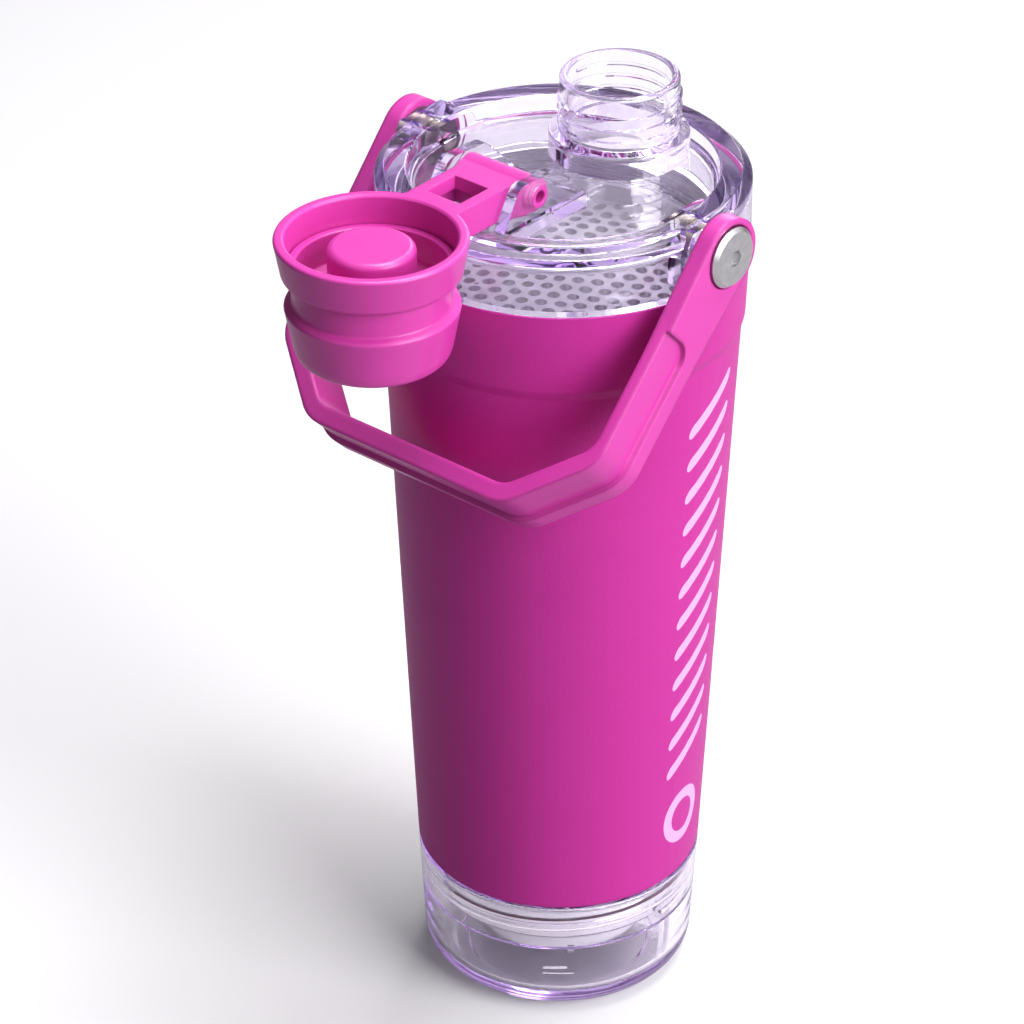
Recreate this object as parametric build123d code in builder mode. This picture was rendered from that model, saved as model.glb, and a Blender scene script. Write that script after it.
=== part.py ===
"""Protein shaker bottle: double-wall steel bottle, screw lid, captive spout cap, bail handle, storage cup.

Frame: origin at the centre of the storage cup's underside, +Z up, handle pivots along X, spout towards +Y,
so the open cap and the resting handle lie on the -Y side. Millimetres.
"""

from build123d import *
from math import cos, radians, sin
import os

# Storage cup: clear, screws onto the steel tail under the bottle.
cup_height = 34.0
cup_foot_radius = 34.4
cup_corner = 7.5
cup_floor = 4.2
cup_dish_depth = 0.8
cup_ring_width = 2.9
cup_foot_wall = 4.0
cup_inner_corner = 4.0
cup_inner_step = 1.0
cup_bore_depth = 13.4
cup_thread_drop = 11.0
cup_lug_size = 7.5
cup_lug_depth = 1.1
cup_lug_z = 12.0
cup_lug_rib = 1.6
cup_lug_count = 2
cup_lug_angle = -50.0
cup_turns = 1.7

# Bottle: painted outer shell, steel liner and spun tail.
shell_height = 175.2
shell_bottom_radius = 36.2
shell_waist_inset = 1.5
shell_band_inset = 0.7
shell_step_drop = 22.4
shell_step_length = 2.4
steel_sheet = 0.8
vacuum_gap = 3.4
weld_gap = 0.1
liner_floor_height = 8.0
liner_corner = 9.0
mouth_depth = 16.6
mouth_shoulder = 2.2
tail_collar_radius = 31.3
tail_collar_height = 11.5
tail_boss_radius = 22.0
tail_height = 24.2
tail_flange = 3.0
tail_shoulder_drop = 5.0
vacuum_cap_radius = 5.5
vacuum_cap_thickness = 1.0

# Lid: one clear moulding with the spout neck, hinge ears and pivot pads.
lid_radius = 44.6
lid_height = 17.2
lid_top_chamfer = 2.3
lid_rim_width = 7.6
lid_deck_drop = 4.2
lid_deck_thickness = 3.0
skirt_wall = 3.0
lid_rim_slope = 0.5
neck_y = 20.8
neck_radius = 14.4
neck_bore_radius = 12.3
neck_height = 15.5
neck_foot_radius = 17.0
neck_foot_height = 1.0
neck_shoulder = 1.2
neck_turns = 3.5

# Threads: ridges on the outer member and on the inner member share one lead.
spout_lead = 3.0
spout_ridge = 1.2
spout_ridge_depth = 0.55
cap_turns = 1.3
ridge_sink = 0.25
body_lead = 4.0
body_ridge = 1.4
body_ridge_depth = 0.9
mouth_turns = 1.9
lid_thread_rise = 3.0
neck_thread_rise = 0.4
thread_gap = 0.4
spout_thread_gap = 0.2

# Cap hinge: ears on the lid, barrel and hollow trunnions on the arm.
open_cap_gap = 0.35
hinge_rise = 8.4
ear_outer_x = 12.3
ear_thickness = 2.8
ear_height = 13.6
ear_heel = 3.6
ear_run_out = 12.8
ear_top_back = 7.0
ear_top_front = 6.4
ear_top_slope = 0.8
ear_run_in = 16.2
ear_sink = 1.0
ear_step = 0.6
ear_step_height = 3.0
barrel_radius = 4.2
barrel_side_gap = 0.2
trunnion_radius = 2.7
trunnion_bore_radius = 1.6
running_gap = 0.05

# Cap arm: flat arm with a window and the ring that keeps the cap.
arm_top_height = 3.6
arm_bottom_height = 4.0
arm_half_width = 8.0
window_length = 10.0
window_half_width = 5.0
window_taper = 7.0
window_shift = 0.4
arm_web = 3.2
arm_rib = 1.9
arm_pocket_margin = 1.3
arm_shoulder_run = 3.4
arm_flare_run = 2.6
ring_radius = 22.25
ring_wall = 2.75
ring_height = 9.6
ring_taper = 1.55
ring_foot_chamfer = 1.1
ring_lip = 0.8
ring_lip_height = 1.3
ring_rim_chamfer = 0.5

# Spout cap, measured down from the ring's rim while the cap hangs fully out of the ring.
cap_mouth_depth = 7.0
cap_flange_height = 1.2
cap_ring_gap = 0.3
cap_mouth_length = 7.4
cap_mouth_slope = 0.8
cap_bottom_inset = 1.0
cap_ledge_depth = 16.0
cap_ledge_radius = 20.2
cap_ledge_rise = 1.0
cap_crown_depth = 27.0
cap_crown_radius = 18.3
cap_bottom_depth = 30.0
cap_crown_thickness = 2.0
cap_mouth_bore_radius = 17.3
cap_travel = 6.0
plug_radius = 10.15
plug_tip_depth = 2.4
plug_wall = 2.0
plug_edge = 1.6
plug_flange_depth = 23.1
plug_flange_thickness = 2.5
cap_seal_thickness = 2.0

# Handle: a U-shaped bail, leaning towards -Y, in its own plane through the pivots.
pivot_drop = 7.8
handle_lean = 45.0
handle_stand_off = 9.07
handle_bar = 5.9
handle_thickness = 4.4
handle_width = 16.2
handle_boss_radius = 9.3
handle_corner_run = 19.5
handle_corner_rise = 18.0
handle_corner_inset = 2.2
handle_outer_round = 11.0
handle_inner_round = 7.0
handle_step_depth = 1.2
handle_step_start = 24.0
handle_step_width = 11.0
handle_step_round = 5.0
handle_taper_length = 34.0
handle_edge_round = 0.7

# Pivot hardware, the same on both sides.
pad_radius = 10.3
pad_proud = 0.2
pad_depth = 9.7
pad_crest = 0.6
bolt_head_radius = 7.4
bolt_head_height = 3.1
bolt_head_chamfer = 0.9
bolt_socket_radius = 2.2
bolt_socket_depth = 1.7
bolt_shoulder_radius = 3.3
bolt_shank_radius = 2.45
bolt_shank_length = 8.2
bolt_recess_depth = 1.8
bolt_recess_gap = 0.5
washer_radius = 7.5
washer_thickness = 0.7
insert_radius = 3.8
insert_fit = 0.02
insert_length = 9.2
insert_groove = 0.6
face_gap = 0.05

# Mixing grid and seals.
grid_height = 6.0
grid_plate = 1.6
grid_rim_wall = 1.6
grid_hole_radius = 1.5
grid_pitch = 4.6
grid_rise = 1.6
grid_margin = 3.1
lid_seal_thickness = 1.9
lid_seal_width = 2.9
cup_seal_width = 1.0
cup_seal_height = 1.9
seat_gap = 0.1
seam_gap = 0.2

# Places worked out from the sizes above.
shell_z = cup_height + seam_gap
mouth_z = shell_z + shell_height
lid_z = mouth_z + seam_gap
lid_top_z = lid_z + lid_height
deck_z = lid_top_z - lid_deck_drop
neck_top_z = lid_top_z + neck_height
open_cap_y = -(lid_radius + open_cap_gap + ring_radius)
hinge_y = (neck_y + open_cap_y) / 2
hinge_z = deck_z + hinge_rise
pivot_z = lid_top_z - pivot_drop
step_z = mouth_z - shell_step_drop
rim_z = hinge_z + arm_top_height
neck_axis = Axis((0, neck_y, 0), (0, 0, 1))
cap_axis = Axis((0, open_cap_y, 0), (0, 0, 1))
pivot_point = Vector(0, 0, pivot_z)
lean = radians(handle_lean)
handle_reach = (lid_radius + handle_stand_off) / sin(lean)
handle_plane = Plane(origin=pivot_point, x_dir=(1, 0, 0), z_dir=(0, -cos(lean), sin(lean)))

# Fitted sizes: each follows the piece that it fits.
cup_bore_radius = tail_collar_radius + body_ridge_depth + thread_gap
cup_inner_foot_radius = cup_foot_radius - cup_foot_wall
cup_dish_radius = cup_foot_radius - cup_corner - cup_ring_width
cup_thread_z = cup_height - cup_bore_depth
cup_ridge_start = cup_height - cup_thread_drop
tail_ridge_start = cup_ridge_start + body_lead / 2
tail_z = shell_z - tail_height
shell_waist_radius = lid_radius - shell_waist_inset
shell_band_radius = lid_radius - shell_band_inset
lid_rim_inner_radius = lid_radius - lid_rim_width
liner_waist_radius = shell_waist_radius - steel_sheet - vacuum_gap - steel_sheet
liner_foot_radius = shell_bottom_radius - steel_sheet - vacuum_gap - steel_sheet
liner_shoulder_z = mouth_z - mouth_depth
mouth_bore_radius = liner_waist_radius + mouth_shoulder
skirt_radius = mouth_bore_radius - body_ridge_depth - thread_gap
skirt_bore_radius = skirt_radius - skirt_wall
skirt_z = liner_shoulder_z + seat_gap + lid_seal_thickness
lid_ridge_start = skirt_z + lid_thread_rise
liner_ridge_start = lid_ridge_start - body_lead / 2
neck_ridge_start = lid_top_z + neck_foot_height + neck_thread_rise
ring_bore_radius = ring_radius - ring_wall
cap_flange_radius = ring_bore_radius - cap_ring_gap
cap_waist_radius = ring_bore_radius - ring_lip - cap_ring_gap
cap_bore_radius = neck_radius + spout_ridge_depth + spout_thread_gap
cap_seal_depth = neck_top_z - (2 * hinge_z - rim_z) + cap_travel + seat_gap
cap_floor_depth = cap_bottom_depth - cap_crown_thickness
cap_thread_phase = 2 * hinge_z - neck_ridge_start - spout_lead / 2
cap_thread_low_z = rim_z - cap_seal_depth + spout_ridge / 2
cap_ridge_start = cap_thread_phase - spout_lead * int((cap_thread_phase - cap_thread_low_z) / spout_lead)
pad_face_x = lid_radius + pad_proud
arm_face_x = pad_face_x + washer_thickness + 2 * face_gap
handle_outer_x = arm_face_x + handle_thickness
recess_floor_x = handle_outer_x - bolt_recess_depth
barrel_half_length = ear_outer_x - ear_thickness - barrel_side_gap


def ridge(root_radius, depth, width, lead, start_z, turns, axis_y=0.0):
    """Adds a right-hand thread ridge to the open part; its middle starts at start_z on the +X side."""
    path = Helix(pitch=lead, height=lead * turns, radius=root_radius, center=(0, axis_y, start_z))
    with BuildSketch(Plane(origin=path @ 0, x_dir=(1, 0, 0), z_dir=path % 0), mode=Mode.PRIVATE) as section:
        root = -ridge_sink if depth > 0 else ridge_sink
        Polygon((root, -width / 2), (depth, -width / 4), (depth, width / 4), (root, width / 2), align=None)
    sweep(sections=section.sketch, path=path, is_frenet=True)


# Painted outer wall of the bottle: one drawn sheet with a soft step below the mouth, turned in at the foot.
with BuildPart() as outer_shell:
    with BuildSketch(Plane.XZ):
        with BuildLine():
            FilletPolyline(
                (lid_radius, mouth_z),
                (shell_band_radius, step_z + shell_step_length),
                (shell_waist_radius, step_z),
                (shell_bottom_radius, shell_z),
                (tail_collar_radius + weld_gap, shell_z),
                radius=[2.0, 2.0, 1.6],
            )
            offset(amount=steel_sheet, side=Side.RIGHT)
        make_face()
    revolve(axis=Axis.Z)

# Inner steel wall that holds the drink, with the rolled mouth thread and the lip welded to the outer wall.
liner_floor_z = shell_z + liner_floor_height
with BuildPart() as inner_liner:
    with BuildSketch(Plane.XZ):
        with BuildLine():
            FilletPolyline(
                (lid_radius - steel_sheet - weld_gap, mouth_z),
                (mouth_bore_radius, mouth_z),
                (mouth_bore_radius, liner_shoulder_z),
                (liner_waist_radius, liner_shoulder_z),
                (liner_waist_radius, step_z),
                (liner_foot_radius, liner_floor_z),
                (0, liner_floor_z),
                radius=[0.6, 0.5, 0.5, 4.0, liner_corner],
            )
            offset(amount=steel_sheet, side=Side.LEFT)
        make_face()
    revolve(axis=Axis.Z)
    ridge(mouth_bore_radius, -body_ridge_depth, body_ridge, body_lead, liner_ridge_start, mouth_turns)

# Spun steel tail that closes the vacuum space and carries the storage cup's thread.
tail_top_z = shell_z + steel_sheet
tail_shoulder_z = shell_z - tail_collar_height
vacuum_cap_z = tail_z + vacuum_cap_thickness + seat_gap
with BuildPart() as base_tail:
    with BuildSketch(Plane.XZ):
        with BuildLine():
            FilletPolyline(
                (tail_collar_radius + tail_flange, tail_top_z),
                (tail_collar_radius, tail_top_z),
                (tail_collar_radius, tail_shoulder_z),
                (tail_boss_radius, tail_shoulder_z - tail_shoulder_drop),
                (tail_boss_radius, tail_z),
                (vacuum_cap_radius, tail_z),
                (vacuum_cap_radius, vacuum_cap_z),
                (0, vacuum_cap_z),
                radius=[0, 1.2, 3.5, 3.0, 0, 0],
            )
            offset(amount=steel_sheet, side=Side.RIGHT)
        make_face()
    revolve(axis=Axis.Z)
    ridge(tail_collar_radius, body_ridge_depth, body_ridge, body_lead, tail_ridge_start, cup_turns)

# Small disc brazed over the hole through which the wall was pumped out.
with BuildPart() as vacuum_cap:
    with BuildSketch(Plane.XY.offset(tail_z + seat_gap)):
        Circle(vacuum_cap_radius - 2 * seat_gap)
    extrude(amount=vacuum_cap_thickness)

# Clear storage cup with an inner thread at its mouth and moulded stop lugs on the wall.
cup_ledge_z = cup_height - cup_seal_height
cup_wall_rise = cup_thread_z - cup_inner_step - cup_floor
cup_wall_spread = cup_bore_radius - cup_inner_step - cup_inner_foot_radius
lug_radius = cup_inner_foot_radius + cup_wall_spread * (cup_lug_z - cup_floor) / cup_wall_rise
with BuildPart() as storage_cup:
    with BuildSketch(Plane.XZ):
        with BuildLine():
            FilletPolyline(
                (0, cup_dish_depth),
                (cup_dish_radius, cup_dish_depth),
                (cup_dish_radius + cup_dish_depth, 0),
                (cup_foot_radius, 0),
                (shell_bottom_radius, cup_height),
                (cup_bore_radius + cup_seal_width, cup_height),
                (cup_bore_radius + cup_seal_width, cup_ledge_z),
                (cup_bore_radius, cup_ledge_z),
                (cup_bore_radius, cup_thread_z),
                (cup_bore_radius - cup_inner_step, cup_thread_z - cup_inner_step),
                (cup_inner_foot_radius, cup_floor),
                (0, cup_floor),
                radius=[0, 0, 0.6, cup_corner, 0.5, 0, 0, 0.3, 0.5, 0.5, cup_inner_corner, 0],
                close=True,
            )
        make_face()
    revolve(axis=Axis.Z)
    ridge(cup_bore_radius, -body_ridge_depth, body_ridge, body_lead, cup_ridge_start, cup_turns)
    with Locations((0, 0, cup_lug_z)):
        with PolarLocations(lug_radius, cup_lug_count, start_angle=cup_lug_angle):
            Box(2 * cup_lug_depth, cup_lug_size, cup_lug_rib)
            with Locations((0, (cup_lug_size - cup_lug_rib) / 2, cup_lug_size / 2)):
                Box(2 * cup_lug_depth, cup_lug_rib, cup_lug_size)

# Silicone ring on the cup's ledge, pressed against the shell's turned-in foot.
with BuildPart() as storage_seal:
    with BuildSketch(Plane.XY.offset(cup_ledge_z)):
        Circle(cup_bore_radius + cup_seal_width - seat_gap)
        Circle(cup_bore_radius + seat_gap, mode=Mode.SUBTRACT)
    extrude(amount=cup_seal_height + seat_gap)

# Clear lid: thick solid rim, recessed deck, threaded skirt, spout neck, hinge ears and handle pads.
deck_under_z = deck_z - lid_deck_thickness
with BuildPart() as lid:
    with BuildSketch(Plane.XZ):
        with BuildLine():
            FilletPolyline(
                (0, deck_z),
                (lid_rim_inner_radius - lid_rim_slope, deck_z),
                (lid_rim_inner_radius, lid_top_z - lid_rim_slope),
                (lid_radius - lid_top_chamfer, lid_top_z),
                (lid_radius, lid_top_z - lid_top_chamfer),
                (lid_radius, lid_z),
                (skirt_radius, lid_z),
                (skirt_radius, skirt_z),
                (skirt_bore_radius, skirt_z),
                (skirt_bore_radius, deck_under_z),
                (0, deck_under_z),
                radius=[0, 1.2, 0.5, 0.5, 0.5, 0.4, 0.4, 0.4, 0.4, 1.5, 0],
                close=True,
            )
        make_face()
    revolve(axis=Axis.Z)
    ridge(skirt_radius, body_ridge_depth, body_ridge, body_lead, lid_ridge_start, mouth_turns)
    with BuildSketch(Plane.XZ.offset(-neck_y)):
        with BuildLine():
            FilletPolyline(
                (neck_bore_radius, deck_under_z),
                (neck_foot_radius, deck_under_z),
                (neck_foot_radius, lid_top_z + neck_foot_height),
                (neck_radius, lid_top_z + neck_foot_height + neck_shoulder),
                (neck_radius, neck_top_z),
                (neck_bore_radius, neck_top_z),
                radius=[0, 0, 1.3, 0.8, 0.9, 0.9],
                close=True,
            )
        make_face()
    revolve(axis=neck_axis)
    ridge(neck_radius, spout_ridge_depth, spout_ridge, spout_lead, neck_ridge_start, neck_turns, neck_y)
    with Locations((0, hinge_y + (ear_run_in - ear_run_out) / 2, deck_z - ear_sink)):
        Box(
            2 * (ear_outer_x + ear_step),
            ear_run_in + ear_run_out,
            ear_sink + ear_step_height,
            align=(Align.CENTER, Align.CENTER, Align.MIN),
        )
    for side in (-1, 1):
        with BuildSketch(Plane.YZ.offset(side * ear_outer_x)):
            with BuildLine():
                FilletPolyline(
                    (hinge_y - ear_run_out, deck_z - ear_sink),
                    (hinge_y - ear_run_out, deck_z + ear_heel),
                    (hinge_y - ear_top_back, deck_z + ear_height),
                    (hinge_y + ear_top_front, deck_z + ear_height - ear_top_slope),
                    (hinge_y + ear_run_in, deck_z + ear_heel),
                    (hinge_y + ear_run_in, deck_z - ear_sink),
                    radius=[0, 1.0, 3.4, 2.4, 1.0, 0],
                    close=True,
                )
            make_face()
        extrude(amount=-side * ear_thickness)
        with BuildSketch(Plane.YZ.offset(side * pad_face_x)):
            with Locations((0, pivot_z)):
                Circle(pad_radius)
            with Locations((0, lid_top_z - pad_crest)):
                Rectangle(2 * pad_radius, pad_radius, align=(Align.CENTER, Align.MIN), mode=Mode.SUBTRACT)
            with Locations((0, lid_z)):
                Rectangle(2 * pad_radius, pad_radius, align=(Align.CENTER, Align.MAX), mode=Mode.SUBTRACT)
        extrude(amount=-side * pad_depth)
    with Locations((0, hinge_y, hinge_z)):
        Cylinder(
            trunnion_radius + running_gap,
            3 * ear_outer_x,
            rotation=(0, 90, 0),
            mode=Mode.SUBTRACT,
        )
    with Locations((0, neck_y, deck_under_z)):
        Cylinder(
            neck_bore_radius,
            2 * lid_height + neck_height,
            align=(Align.CENTER, Align.CENTER, Align.CENTER),
            mode=Mode.SUBTRACT,
        )
    for side in (-1, 1):
        with BuildSketch(Plane.YZ.offset(side * pad_face_x)):
            with Locations((0, pivot_z)):
                Circle(insert_radius + insert_fit)
        extrude(amount=-side * insert_length, mode=Mode.SUBTRACT)

# Silicone face seal under the skirt, on the liner's shoulder.
with BuildPart() as lid_seal:
    with BuildSketch(Plane.XY.offset(liner_shoulder_z + seat_gap)):
        Circle(skirt_radius)
        Circle(skirt_radius - lid_seal_width, mode=Mode.SUBTRACT)
    extrude(amount=lid_seal_thickness)
    fillet(lid_seal.edges().group_by(Axis.Z)[0], radius=0.5)

# Perforated mixing grid snapped into the skirt.
grid_radius = skirt_bore_radius - seat_gap
grid_z = skirt_z + grid_rise
grid_cells = 2 * int(grid_radius / grid_pitch) + 3
hex_spots = HexLocations(grid_pitch / 2, grid_cells, grid_cells)
grid_spots = [spot for spot in hex_spots if spot.position.length < grid_radius - grid_margin]
with BuildPart() as mixing_grid:
    with BuildSketch(Plane.XY.offset(grid_z)):
        Circle(grid_radius)
        Circle(grid_radius - grid_rim_wall, mode=Mode.SUBTRACT)
    extrude(amount=grid_height)
    with BuildSketch(Plane.XY.offset(grid_z)):
        Circle(grid_radius - grid_rim_wall / 2)
        with Locations(*grid_spots):
            Circle(grid_hole_radius, mode=Mode.SUBTRACT)
    extrude(amount=grid_plate)

# Pivot hardware: insert moulded into the lid, washer, and shoulder bolt, once for each side.
hardware = {}
for side, word in ((-1, "left"), (1, "right")):
    with BuildPart() as insert:
        with BuildSketch(Plane.YZ.offset(side * (pad_face_x - face_gap))):
            with Locations((0, pivot_z)):
                Circle(insert_radius)
                Circle(bolt_shank_radius + running_gap, mode=Mode.SUBTRACT)
        extrude(amount=-side * (insert_length - face_gap))
        with BuildSketch(Plane.YZ.offset(side * (pad_face_x - insert_length / 2))):
            with Locations((0, pivot_z)):
                Circle(insert_radius)
                Circle(insert_radius - insert_groove, mode=Mode.SUBTRACT)
        extrude(amount=insert_groove, both=True, mode=Mode.SUBTRACT)
    hardware["insert_" + word] = insert.part
    with BuildPart() as washer:
        with BuildSketch(Plane.YZ.offset(side * (pad_face_x + face_gap))):
            with Locations((0, pivot_z)):
                Circle(washer_radius)
                Circle(bolt_shoulder_radius + running_gap, mode=Mode.SUBTRACT)
        extrude(amount=side * washer_thickness)
    hardware["washer_" + word] = washer.part
    with BuildPart() as bolt:
        with BuildSketch(Plane.YZ.offset(side * (recess_floor_x + face_gap))):
            with Locations((0, pivot_z)):
                Circle(bolt_head_radius)
        extrude(amount=side * bolt_head_height)
        chamfer(bolt.edges().sort_by(Axis.X)[-1 if side > 0 else 0], length=bolt_head_chamfer)
        with BuildSketch(Plane.YZ.offset(side * (recess_floor_x + face_gap + bolt_head_height))):
            with Locations((0, pivot_z)):
                RegularPolygon(bolt_socket_radius, 6)
        extrude(amount=-side * bolt_socket_depth, mode=Mode.SUBTRACT)
        with BuildSketch(Plane.YZ.offset(side * (pad_face_x + face_gap))):
            with Locations((0, pivot_z)):
                Circle(bolt_shoulder_radius)
        extrude(amount=side * (recess_floor_x - pad_face_x))
        with BuildSketch(Plane.YZ.offset(side * (pad_face_x + face_gap))):
            with Locations((0, pivot_z)):
                Circle(bolt_shank_radius)
        extrude(amount=-side * bolt_shank_length)
    hardware["bolt_" + word] = bolt.part

# Cap arm: barrel with hollow trunnions, flat arm with a sloped window, ring with an inner lip.
arm_top_z = hinge_z + arm_top_height
ring_far_y = open_cap_y + ring_bore_radius
window_y = (hinge_y - barrel_radius + ring_far_y) / 2 - window_shift
with BuildPart() as cap_arm:
    with BuildSketch(Plane.XZ.offset(-open_cap_y)):
        with BuildLine():
            FilletPolyline(
                (0, arm_top_z),
                (ring_radius, arm_top_z),
                (ring_radius - ring_taper, arm_top_z - ring_height + ring_foot_chamfer),
                (ring_radius - ring_taper - ring_foot_chamfer, arm_top_z - ring_height),
                (0, arm_top_z - ring_height),
                radius=[0.7, 0.5, 0.5],
            )
            Line((0, arm_top_z - ring_height), (0, arm_top_z))
        make_face()
    revolve(axis=cap_axis)
    with BuildSketch(Plane.XY.offset(arm_top_z)):
        with BuildLine():
            FilletPolyline(
                (-barrel_half_length, hinge_y),
                (-barrel_half_length, hinge_y - arm_shoulder_run),
                (-arm_half_width, hinge_y - arm_shoulder_run - arm_flare_run),
                (-arm_half_width, open_cap_y + ring_bore_radius - 1.0),
                (arm_half_width, open_cap_y + ring_bore_radius - 1.0),
                (arm_half_width, hinge_y - arm_shoulder_run - arm_flare_run),
                (barrel_half_length, hinge_y - arm_shoulder_run),
                (barrel_half_length, hinge_y),
                radius=[0.8, 2.5, 0, 0, 2.5, 0.8],
            )
            Line((barrel_half_length, hinge_y), (-barrel_half_length, hinge_y))
        make_face()
    extrude(amount=-(arm_top_height + arm_bottom_height))
    with Locations((0, hinge_y, hinge_z)):
        Cylinder(barrel_radius, 2 * barrel_half_length, rotation=(0, 90, 0))
        Cylinder(trunnion_radius, 2 * (ear_outer_x + running_gap), rotation=(0, 90, 0))
        Cylinder(trunnion_bore_radius, 3 * ear_outer_x, rotation=(0, 90, 0), mode=Mode.SUBTRACT)
    with BuildSketch(Plane.XY.offset(arm_top_z)):
        with Locations((0, window_y)):
            Rectangle(2 * window_half_width, window_length)
    extrude(amount=-(arm_top_height + arm_bottom_height), taper=window_taper, mode=Mode.SUBTRACT)
    with Locations((0, window_y, arm_top_z - arm_web)):
        Box(
            2 * (arm_half_width - arm_rib),
            window_length + 2 * arm_pocket_margin,
            arm_top_height + arm_bottom_height,
            align=(Align.CENTER, Align.CENTER, Align.MAX),
            mode=Mode.SUBTRACT,
        )
    with BuildSketch(Plane.XZ.offset(-open_cap_y)):
        with BuildLine():
            Polyline(
                (0, arm_top_z),
                (ring_bore_radius + ring_rim_chamfer, arm_top_z),
                (ring_bore_radius, arm_top_z - ring_rim_chamfer),
                (ring_bore_radius, arm_top_z - ring_height + ring_lip_height),
                (ring_bore_radius - ring_lip, arm_top_z - ring_height + ring_lip_height),
                (ring_bore_radius - ring_lip, arm_top_z - ring_height),
                (0, arm_top_z - ring_height),
                close=True,
            )
        make_face()
    revolve(axis=cap_axis, mode=Mode.SUBTRACT)

# Spout cap, hanging fully out of the ring: flange in the ring, waist, ledge, tapered crown, inner thread.
with BuildPart() as spout_cap:
    with BuildSketch(Plane.XZ.offset(-open_cap_y)):
        with BuildLine():
            FilletPolyline(
                (0, rim_z - cap_bottom_depth),
                (cap_crown_radius - cap_bottom_inset, rim_z - cap_bottom_depth),
                (cap_crown_radius, rim_z - cap_crown_depth),
                (cap_ledge_radius, rim_z - cap_ledge_depth - cap_ledge_rise),
                (cap_waist_radius, rim_z - cap_ledge_depth),
                (cap_waist_radius, rim_z - cap_mouth_depth - cap_flange_height),
                (cap_flange_radius, rim_z - cap_mouth_depth - cap_flange_height),
                (cap_flange_radius, rim_z - cap_mouth_depth),
                (cap_mouth_bore_radius, rim_z - cap_mouth_depth),
                (cap_mouth_bore_radius, rim_z - cap_mouth_depth - cap_mouth_length),
                (cap_bore_radius, rim_z - cap_mouth_depth - cap_mouth_length - cap_mouth_slope),
                (cap_bore_radius, rim_z - cap_floor_depth),
                (0, rim_z - cap_floor_depth),
                radius=[2.6, 2.4, 0.7, 0.5, 0.3, 0.3, 0.3, 0.4, 0.5, 0.3, 1.5],
            )
            Line((0, rim_z - cap_floor_depth), (0, rim_z - cap_bottom_depth))
        make_face()
    revolve(axis=cap_axis)
    ridge(
        cap_bore_radius,
        -spout_ridge_depth,
        spout_ridge,
        spout_lead,
        cap_ridge_start,
        cap_turns,
        open_cap_y,
    )

# Plug welded into the cap: its tip enters the spout bore when the cap is screwed down.
with BuildPart() as cap_plug:
    with BuildSketch(Plane.XZ.offset(-open_cap_y)):
        with BuildLine():
            FilletPolyline(
                (0, rim_z - plug_tip_depth),
                (plug_radius, rim_z - plug_tip_depth),
                (plug_radius, rim_z - plug_flange_depth),
                (cap_bore_radius - seat_gap, rim_z - plug_flange_depth),
                (cap_bore_radius - seat_gap, rim_z - plug_flange_depth - plug_flange_thickness),
                (plug_radius - plug_wall, rim_z - plug_flange_depth - plug_flange_thickness),
                (plug_radius - plug_wall, rim_z - plug_tip_depth - plug_wall),
                (0, rim_z - plug_tip_depth - plug_wall),
                radius=[plug_edge, 0.3, 0.3, 0.3, 0.3, 0.8],
            )
            Line((0, rim_z - plug_tip_depth - plug_wall), (0, rim_z - plug_tip_depth))
        make_face()
    revolve(axis=cap_axis)

# Silicone gasket round the plug's root, which meets the spout's rim.
with BuildPart() as cap_seal:
    with BuildSketch(Plane.XY.offset(rim_z - cap_seal_depth)):
        with Locations((0, open_cap_y)):
            Circle(cap_bore_radius - spout_ridge_depth - spout_thread_gap)
            Circle(plug_radius + seat_gap, mode=Mode.SUBTRACT)
    extrude(amount=-cap_seal_thickness)

# Handle: U-shaped bail with round ends, counterbored pivots and a shallow step on its outer face.
reach_axis = Axis(pivot_point, Vector(0, -sin(lean), -cos(lean)))
normal_axis = Axis(pivot_point, handle_plane.z_dir)
arm_plane = Plane(origin=pivot_point, x_dir=reach_axis.direction, z_dir=(1, 0, 0))


def bail_region(plane, half_width, reach, run, rise, rounding, start, grow=0.0):
    """The filled outline of a bail whose arms start at a distance from the pivots, grown or shrunk."""
    with BuildSketch(plane, mode=Mode.PRIVATE) as region:
        with BuildLine():
            FilletPolyline(
                (-half_width, -start),
                (-half_width, rise - reach),
                (run - half_width, -reach),
                (half_width - run, -reach),
                (half_width, rise - reach),
                (half_width, -start),
                radius=rounding,
            )
            Line((half_width, -start), (-half_width, -start))
        make_face()
        if grow:
            offset(amount=grow, kind=Kind.INTERSECTION)
    return region.sketch


outer_bail = (handle_outer_x, handle_reach, handle_corner_run, handle_corner_rise, handle_outer_round)
inner_bail = (
    arm_face_x,
    handle_reach - handle_bar,
    handle_corner_run - handle_corner_inset,
    handle_corner_rise - handle_corner_inset,
    handle_inner_round,
)
step_plane = handle_plane.offset(handle_width / 2 - handle_step_width)
with BuildPart() as step_cutter:
    extrude(to_extrude=bail_region(step_plane, *outer_bail, handle_step_start, 1.0), amount=handle_width)
    extrude(
        to_extrude=bail_region(step_plane, *outer_bail, 0, -handle_step_depth),
        amount=handle_width,
        mode=Mode.SUBTRACT,
    )
    step_ends = step_cutter.edges().filter_by(Axis.X).group_by(reach_axis)[0]
    fillet(step_ends.group_by(normal_axis)[0], radius=handle_step_round)

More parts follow.
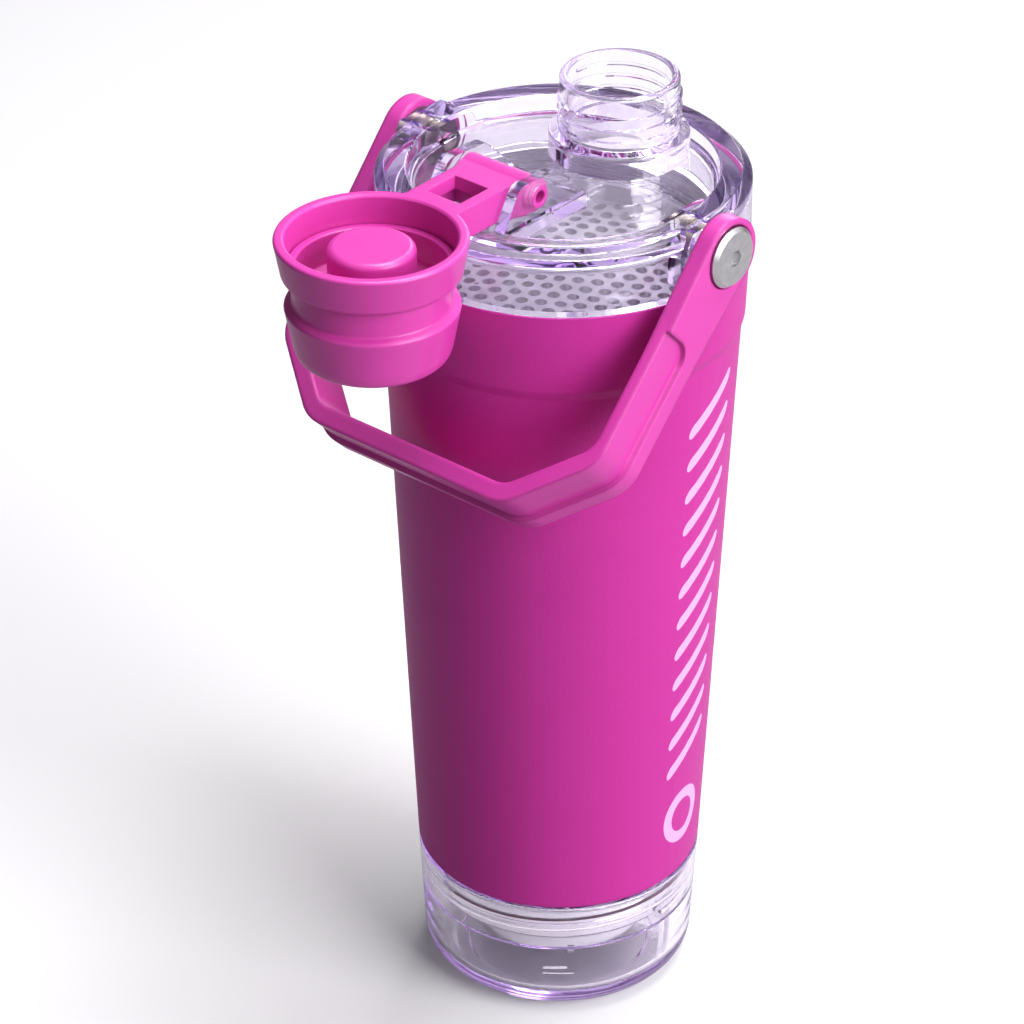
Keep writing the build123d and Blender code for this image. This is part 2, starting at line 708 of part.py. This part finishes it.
with BuildPart() as handle:
    extrude(to_extrude=bail_region(handle_plane, *outer_bail, 0), amount=handle_width / 2, both=True)
    extrude(
        to_extrude=bail_region(handle_plane, *inner_bail, -handle_boss_radius),
        amount=handle_width,
        both=True,
        mode=Mode.SUBTRACT,
    )
    rims = handle.faces().filter_by(handle_plane).edges() - handle.edges().filter_by(Axis.X)
    fillet(rims, radius=handle_edge_round)
    for side in (-1, 1):
        with BuildSketch(arm_plane.offset(side * arm_face_x)):
            Circle(handle_boss_radius)
            Polygon(
                (0, -handle_boss_radius),
                (handle_taper_length, -handle_width / 2 + handle_edge_round),
                (handle_taper_length, handle_width / 2 - handle_edge_round),
                (0, handle_boss_radius),
                align=None,
            )
        extrude(amount=side * handle_thickness)
        with BuildSketch(arm_plane.offset(side * recess_floor_x)):
            Circle(bolt_head_radius + bolt_recess_gap)
        extrude(amount=side * handle_thickness, mode=Mode.SUBTRACT)
        with BuildSketch(arm_plane.offset(side * arm_face_x)):
            Circle(bolt_shoulder_radius + running_gap)
        extrude(amount=side * handle_thickness, mode=Mode.SUBTRACT)
    add(step_cutter.part, mode=Mode.SUBTRACT)

pieces = {
    "outer_shell": outer_shell.part,
    "inner_liner": inner_liner.part,
    "base_tail": base_tail.part,
    "vacuum_cap": vacuum_cap.part,
    "storage_cup": storage_cup.part,
    "storage_seal": storage_seal.part,
    "lid": lid.part,
    "lid_seal": lid_seal.part,
    "mixing_grid": mixing_grid.part,
    "cap_arm": cap_arm.part,
    "spout_cap": spout_cap.part,
    "cap_plug": cap_plug.part,
    "cap_seal": cap_seal.part,
    "handle": handle.part,
    **hardware,
}
os.makedirs("parts", exist_ok=True)
for name, piece in pieces.items():
    piece.label = name
    export_step(piece, "parts/" + name + ".step")
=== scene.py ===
from math import pi, radians, tan

import bmesh
import bpy
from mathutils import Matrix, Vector

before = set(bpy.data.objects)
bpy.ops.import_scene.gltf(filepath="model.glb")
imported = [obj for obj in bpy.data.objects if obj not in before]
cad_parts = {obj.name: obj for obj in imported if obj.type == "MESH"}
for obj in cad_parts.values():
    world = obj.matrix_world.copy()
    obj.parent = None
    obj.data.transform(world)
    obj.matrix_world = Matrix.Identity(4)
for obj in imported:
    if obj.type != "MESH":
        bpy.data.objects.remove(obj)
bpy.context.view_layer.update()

# Camera: a long lens above and to the front right of the bottle, looking about 32 degrees down.
# Light turns many times inside the thick clear lid, so it is given enough bounces to come out.
camera_place = Vector((0.5480, -0.6640, 0.6661))
camera_aim = Vector((-0.5494, 0.6470, -0.5286))
camera_data = bpy.data.cameras.new("camera")
camera_data.lens = 144.1
camera_data.sensor_width = 36.0
camera_data.clip_start = 0.01
camera = bpy.data.objects.new("camera", camera_data)
camera.location = camera_place
camera.rotation_euler = camera_aim.to_track_quat("-Z", "Y").to_euler()
bpy.context.scene.collection.objects.link(camera)
bpy.context.scene.camera = camera
bpy.context.scene.view_settings.view_transform = "Standard"
light_paths = bpy.context.scene.cycles
light_paths.max_bounces = 28
light_paths.glossy_bounces = 16
light_paths.transmission_bounces = 24


# Studio: a pale painted floor, one broad key panel high on the right, a long strip behind, a soft
# panel overhead and a pale room. The shader kit used by every finish below starts here.
class Shade:
    """One socket of a shader tree. Arithmetic on it adds Math nodes; node() adds any other node."""

    def __init__(self, tree, socket=None):
        self.tree = tree
        self.socket = socket

    def node(self, kind, settings, inputs, output=0):
        """A new node of a type: its settings first, then the values or links of its sockets."""
        made = self.tree.nodes.new(kind)
        for name, value in settings.items():
            setattr(made, name, value)
        for name, value in inputs.items():
            if isinstance(value, Shade):
                self.tree.links.new(value.socket, made.inputs[name])
            else:
                made.inputs[name].default_value = value
        return Shade(self.tree, made.outputs[output])

    def outputs(self, *names):
        """Outputs, by name, of the node that this socket is on."""
        return [Shade(self.tree, self.socket.node.outputs[name]) for name in names]

    def maths(self, operation, first, second=0.0):
        return self.node("ShaderNodeMath", {"operation": operation}, {0: first, 1: second})

    def __add__(self, other):
        return self.maths("ADD", self, other)

    def __sub__(self, other):
        return self.maths("SUBTRACT", self, other)

    def __rsub__(self, other):
        return self.maths("SUBTRACT", other, self)

    def __mul__(self, other):
        return self.maths("MULTIPLY", self, other)

    def __truediv__(self, other):
        return self.maths("DIVIDE", self, other)

    def __lt__(self, other):
        return self.maths("LESS_THAN", self, other)

    def __gt__(self, other):
        return self.maths("GREATER_THAN", self, other)

    def __abs__(self):
        return self.maths("ABSOLUTE", self)

    __radd__ = __add__
    __rmul__ = __mul__


def finish(name, sockets):
    """A principled finish, its shader kit, and the place on the piece that its patterns read."""
    material = bpy.data.materials.new(name)
    material.use_nodes = True
    shader = material.node_tree.nodes["Principled BSDF"]
    for socket, value in sockets.items():
        shader.inputs[socket].default_value = value
    kit = Shade(material.node_tree)
    place = kit.node("ShaderNodeTexCoord", {}, {}, "Object")
    return material, kit, place


def feed(material, sockets):
    """Links what varies over the surface to the finish's shader."""
    shader = material.node_tree.nodes["Principled BSDF"]
    for socket, value in sockets.items():
        material.node_tree.links.new(value.socket, shader.inputs[socket])


def grain(place, per_metre, detail=2.0, packing=(1.0, 1.0, 1.0)):
    """Noise with about so many grains to the metre, packed closer along an axis by its factor."""
    packed = place.node(
        "ShaderNodeVectorMath", {"operation": "MULTIPLY"}, {0: place, 1: packing}
    )
    return place.node(
        "ShaderNodeTexNoise", {}, {"Vector": packed, "Scale": per_metre, "Detail": detail}
    )


def between(factor, low, high):
    """A colour that goes from one to the other with the factor."""
    return factor.node(
        "ShaderNodeMix", {"data_type": "RGBA"}, {0: factor, 6: low, 7: high}, 2
    )


def relief(height, depth, onto=None):
    """A bump of that depth in metres, on top of another if one is given."""
    inputs = {"Height": height, "Distance": depth}
    if onto is not None:
        inputs["Normal"] = onto
    return height.node("ShaderNodeBump", {}, inputs)


def off_the_coat(kit):
    """Two switches: 1 for a ray that something matt scattered, and 1 for one that was mirrored."""
    kinds = kit.node("ShaderNodeLightPath", {}, {})
    scattered, glossy, through = kinds.outputs(
        "Is Diffuse Ray", "Is Glossy Ray", "Is Transmission Ray"
    )
    return scattered, glossy * (1.0 - through)


# Scattered light finds the floor and the room dimmer, and mirrored light does so on the shadow side,
# as if black cloth stood round the set, while what is seen through clear plastic stays pale.
floor_half_width = 4.0
floor_drop = 0.0002
floor_shade = (0.25, 0.24, 0.26, 1)
floor_paint, kit, place = finish("floor_paint", {"Roughness": 0.75, "Specular IOR Level": 0.2})
scattered, mirrored = off_the_coat(kit)
swept = between(grain(place, 3.0), (0.84, 0.83, 0.85, 1), (0.88, 0.87, 0.89, 1))
dimmed = kit.maths("MAXIMUM", scattered, mirrored * 0.75)
feed(floor_paint, {"Base Color": between(dimmed, swept, floor_shade)})
floor_mesh = bmesh.new()
bmesh.ops.create_grid(floor_mesh, x_segments=1, y_segments=1, size=floor_half_width)
bmesh.ops.translate(floor_mesh, verts=floor_mesh.verts, vec=(0, 0, -floor_drop))
floor_data = bpy.data.meshes.new("floor")
floor_mesh.to_mesh(floor_data)
floor_mesh.free()
floor_data.materials.append(floor_paint)
floor = bpy.data.objects.new("floor", floor_data)
bpy.context.scene.collection.objects.link(floor)


def panel(name, at, aim, size, watts):
    """A soft light panel facing a point."""
    light = bpy.data.lights.new(name, "AREA")
    light.shape = "RECTANGLE"
    light.size, light.size_y = size
    light.energy = watts
    lamp = bpy.data.objects.new(name, light)
    lamp.location = at
    lamp.rotation_euler = (Vector(aim) - Vector(at)).to_track_quat("-Z", "Y").to_euler()
    bpy.context.scene.collection.objects.link(lamp)


panel("key_panel", (1.15, 0.05, 0.75), (0, 0, 0.12), (0.9, 1.1), 21.0)
panel("top_panel", (0.10, 0.25, 1.30), (0, 0, 0.15), (0.8, 0.5), 13.5)
panel("back_strip", (-0.50, 0.95, 0.70), (0, 0, 0.15), (0.25, 0.9), 3.0)

key_way = (0.75, -0.1, 0.65)
room_dim, room_bright = 0.55, 1.30
scattered_loss, mirrored_loss = 0.88, 0.85
room = bpy.data.worlds.new("room")
room.use_nodes = True
kit = Shade(room.node_tree)
scattered, mirrored = off_the_coat(kit)
toward = kit.node("ShaderNodeTexCoord", {}, {}, "Generated")
to_key = kit.node(
    "ShaderNodeVectorMath", {"operation": "DOT_PRODUCT"}, {0: toward, 1: key_way}, 1
)
bright = kit.node(
    "ShaderNodeMapRange",
    {},
    {
        "Value": to_key,
        "From Min": -0.7,
        "From Max": 0.8,
        "To Min": room_dim,
        "To Max": room_bright,
    },
)
away = kit.node("ShaderNodeMapRange", {}, {"Value": to_key, "From Min": 0.45, "From Max": -0.25})
strength = bright * (1.0 - scattered * scattered_loss) * (1.0 - mirrored * away * mirrored_loss)
glow = room.node_tree.nodes["Background"]
glow.inputs["Color"].default_value = (0.95, 0.94, 0.99, 1)
room.node_tree.links.new(strength.socket, glow.inputs["Strength"])
bpy.context.scene.world = room


def wear(finished, *nodes):
    """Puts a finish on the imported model's own pieces."""
    for name in nodes:
        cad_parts[name].material_slots[0].material = finished


# Outer shell: the drawn stainless tube that the hand holds, powder coated outside in satin magenta.
# The coat has a fine pebble, and a pale printed band of slanted dashes over a ring up one side.
coat_deep, coat_pale = (0.560, 0.029, 0.312, 1), (0.612, 0.036, 0.350, 1)
coat_speck = (0.70, 0.075, 0.44, 1)
print_pink = (0.90, 0.48, 0.90, 1)
print_turn = radians(7.0)
print_radius = 0.0395
dash_pitch, dash_low, dash_count = 0.0092, 0.0688, 12
dash_half_length, dash_half_width = 0.0082, 0.0017
dash_slope = tan(radians(32.0))
ring_height, ring_radius, ring_half_width = 0.0528, 0.0065, 0.0016
shell_paint, kit, place = finish(
    "shell_paint", {"Specular IOR Level": 0.16, "Coat Weight": 0.04, "Coat Roughness": 0.30}
)
parts = kit.node("ShaderNodeSeparateXYZ", {}, {0: place})
across, along, height = parts.outputs("X", "Y", "Z")
arc = (kit.maths("ARCTAN2", along, across) - print_turn) * print_radius
step_up = (height - dash_low - arc * dash_slope) / dash_pitch
in_step = (kit.maths("FRACT", step_up) - 0.5) * dash_pitch
past_end = kit.maths("MAXIMUM", abs(arc) - (dash_half_length - dash_half_width), 0.0)
from_dash = kit.maths("SQRT", past_end * past_end + in_step * in_step)
dashes = (from_dash < dash_half_width) * (step_up > 0.0) * (step_up < dash_count)
up = height - ring_height
from_middle = kit.maths("SQRT", arc * arc + up * up)
ring = abs(from_middle - ring_radius) < ring_half_width
printed = kit.maths("MAXIMUM", dashes, ring)
pebble = grain(place, 2600.0, 3.0)
drift = grain(place, 45.0)
coat = between(pebble * 0.22, between(drift, coat_deep, coat_pale), coat_speck)
feed(
    shell_paint,
    {
        "Base Color": between(printed, coat, print_pink),
        "Roughness": pebble * 0.16 + 0.34,
        "Normal": relief(pebble, 0.00006),
    },
)
wear(shell_paint, "outer_shell")

# Inner liner: 18/8 stainless sheet, drawn and spun, left bright inside with fine turning lines
# round the axis.
steel, kit, place = finish("spun_steel", {"Metallic": 1.0, "IOR": 2.5})
turning = grain(place, 60.0, 4.0, (1.0, 1.0, 60.0))
smear = grain(place, 30.0)
feed(
    steel,
    {
        "Base Color": between(smear, (0.60, 0.58, 0.62, 1), (0.76, 0.74, 0.78, 1)),
        "Roughness": turning * 0.18 + 0.18,
        "Normal": relief(turning, 0.00002),
    },
)
wear(steel, "inner_liner")

# Tail and vacuum cap: the same stainless, buffed bright. The tail closes the vacuum space below
# the coat and carries the thread that the storage cup screws on to.
buffed, kit, place = finish("buffed_steel", {"Metallic": 1.0, "IOR": 2.5})
scratch = grain(place, 90.0, 3.0, (1.0, 1.0, 30.0))
feed(
    buffed,
    {
        "Base Color": between(scratch, (0.66, 0.65, 0.68, 1), (0.78, 0.77, 0.80, 1)),
        "Roughness": scratch * 0.10 + 0.08,
        "Normal": relief(scratch, 0.000006),
    },
)
wear(buffed, "base_tail", "vacuum_cap")

# Storage cup, lid and spout: thick clear moulded copolyester with a faint violet cast that gathers
# in the thick edges. Polished moulds leave it glassy, with slow flow waves and a little haze.
clear, kit, place = finish(
    "clear_copolyester",
    {
        "Transmission Weight": 1.0,
        "IOR": 1.54,
        "Specular IOR Level": 0.5,
        "Base Color": (0.985, 0.975, 1.0, 1),
    },
)
flow = grain(place, 38.0, 1.0)
haze = grain(place, 160.0, 3.0)
feed(clear, {"Roughness": haze * haze * 0.05, "Normal": relief(flow, 0.0006)})
violet_cast = kit.node(
    "ShaderNodeVolumeAbsorption", {}, {"Color": (0.78, 0.60, 0.95, 1), "Density": 26.0}
)
surface_and_volume = clear.node_tree.nodes["Material Output"]
clear.node_tree.links.new(violet_cast.socket, surface_and_volume.inputs["Volume"])
wear(clear, "storage_cup", "lid")

# Seals: translucent white silicone rings, moulded, with a soft matt skin. Each screwed piece has
# one: the lid, the spout cap and the storage cup.
silicone, kit, place = finish(
    "silicone",
    {
        "Transmission Weight": 0.35,
        "IOR": 1.41,
        "Subsurface Weight": 0.2,
        "Subsurface Scale": 0.002,
    },
)
skin = grain(place, 900.0, 3.0)
feed(
    silicone,
    {
        "Base Color": between(skin, (0.80, 0.78, 0.84, 1), (0.90, 0.89, 0.93, 1)),
        "Roughness": skin * 0.2 + 0.40,
        "Normal": relief(skin, 0.00002),
    },
)
wear(silicone, "storage_seal", "lid_seal", "cap_seal")

# Mixing grid: a milky moulded disc pierced with round holes, which snaps up inside the lid's skirt
# and breaks up the powder as the drink is shaken through it.
grid_plastic, kit, place = finish("grid_plastic", {"Transmission Weight": 0.55, "IOR": 1.50})
mould = grain(place, 420.0, 3.0)
feed(
    grid_plastic,
    {
        "Base Color": between(mould, (0.83, 0.79, 0.89, 1), (0.92, 0.90, 0.96, 1)),
        "Roughness": mould * 0.20 + 0.22,
        "Normal": relief(mould, 0.00004),
    },
)
wear(grid_plastic, "mixing_grid")

# Inserts and washers: turned and grooved metal inserts moulded into the lid, and thin dark acetal
# washers that keep the handle off the pads.
insert_metal, kit, place = finish("insert_metal", {"Metallic": 1.0})
tooling = grain(place, 900.0)
feed(
    insert_metal,
    {
        "Base Color": between(tooling, (0.46, 0.40, 0.34, 1), (0.62, 0.56, 0.48, 1)),
        "Roughness": tooling * 0.2 + 0.3,
        "Normal": relief(tooling, 0.00008),
    },
)
wear(insert_metal, "insert_left", "insert_right")
washer_plastic, kit, place = finish("washer_plastic", {"IOR": 1.48})
dust = grain(place, 700.0, 3.0)
feed(
    washer_plastic,
    {
        "Base Color": between(dust, (0.05, 0.02, 0.04, 1), (0.09, 0.04, 0.07, 1)),
        "Roughness": dust * 0.2 + 0.45,
        "Normal": relief(dust, 0.00002),
    },
)
wear(washer_plastic, "washer_left", "washer_right")

# Pivot bolts: turned stainless socket bolts that the handle swings on, faced on a lathe, so their
# lines run round the head.
pivot_height = 0.2190
lathe_pitch = 0.00022
bolt_steel, kit, place = finish("bolt_steel", {"Metallic": 1.0, "IOR": 2.5})
centred = kit.node(
    "ShaderNodeVectorMath", {"operation": "SUBTRACT"}, {0: place, 1: (0.0, 0.0, pivot_height)}
)
side_y, side_z = kit.node("ShaderNodeSeparateXYZ", {}, {0: centred}).outputs("Y", "Z")
out_from_pivot = kit.maths("SQRT", side_y * side_y + side_z * side_z)
rings = kit.maths("SINE", out_from_pivot * (2 * pi / lathe_pitch)) * 0.5 + 0.5
facing = grain(place, 500.0, 3.0)
feed(
    bolt_steel,
    {
        "Base Color": between(facing, (0.53, 0.52, 0.53, 1), (0.67, 0.66, 0.67, 1)),
        "Roughness": rings * 0.10 + facing * 0.12 + 0.20,
        "Normal": relief(rings, 0.000006),
    },
)
wear(bolt_steel, "bolt_left", "bolt_right")


# Handle, cap arm, spout cap and plug: polypropylene moulded in the shell's magenta, with a fine
# spark-eroded satin and edges that the mould rounds over.
def satin(name, edge, shine):
    """The moulded magenta, with its edges rounded by so much and its roughness from so low."""
    moulded, kit, place = finish(
        name, {"Specular IOR Level": 0.5, "Coat Weight": 0.12, "Coat Roughness": 0.18}
    )
    spark = grain(place, 3400.0)
    cloud = grain(place, 60.0)
    rounded = kit.node("ShaderNodeBevel", {"samples": 6}, {"Radius": edge})
    feed(
        moulded,
        {
            "Base Color": between(cloud, (0.640, 0.042, 0.372, 1), (0.695, 0.052, 0.412, 1)),
            "Roughness": spark * 0.12 + shine,
            "Normal": relief(spark, 0.00003, rounded),
        },
    )
    return moulded


wear(satin("handle_plastic", 0.0015, 0.30), "handle")
wear(satin("cap_plastic", 0.0006, 0.27), "cap_arm", "spout_cap", "cap_plug")
